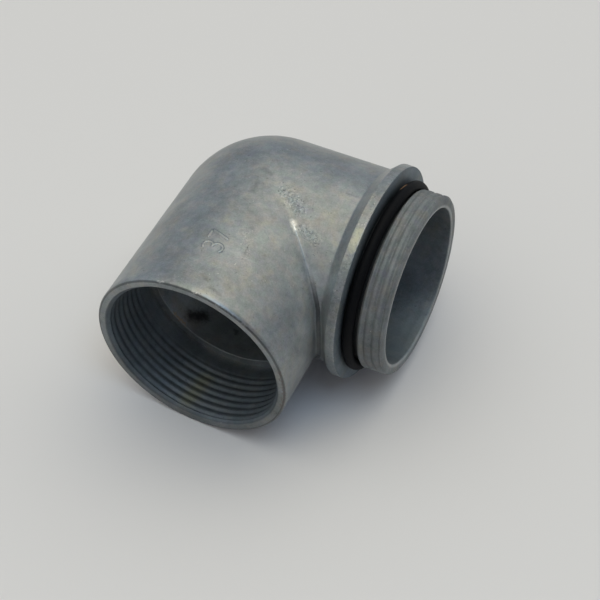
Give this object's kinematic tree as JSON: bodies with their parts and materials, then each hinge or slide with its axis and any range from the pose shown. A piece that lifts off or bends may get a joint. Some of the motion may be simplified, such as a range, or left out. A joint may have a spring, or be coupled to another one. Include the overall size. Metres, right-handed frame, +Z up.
{
  "type": "conduit elbow",
  "caption": "Cast zinc right-angle conduit elbow: threaded socket, round corner, and a flanged, threaded spigot with a rubber sealing ring in its groove.",
  "frame": {"origin": "centre of the flange's sealing face, on the spigot's axis", "axes": "+X out of the spigot along its thread, -Y out of the socket's mouth, +Z up as the elbow lies on its side"},
  "size_m": [0.0524, 0.0568, 0.044],
  "materials": {
    "cast_zinc": "as-cast zinc alloy, satin grey with mottled patina",
    "seal_rubber": "matt black rubber"
  },
  "bodies": {
    "root": {"elbow_body": "cast_zinc", "o_ring": "seal_rubber"}
  },
  "joints": []
}
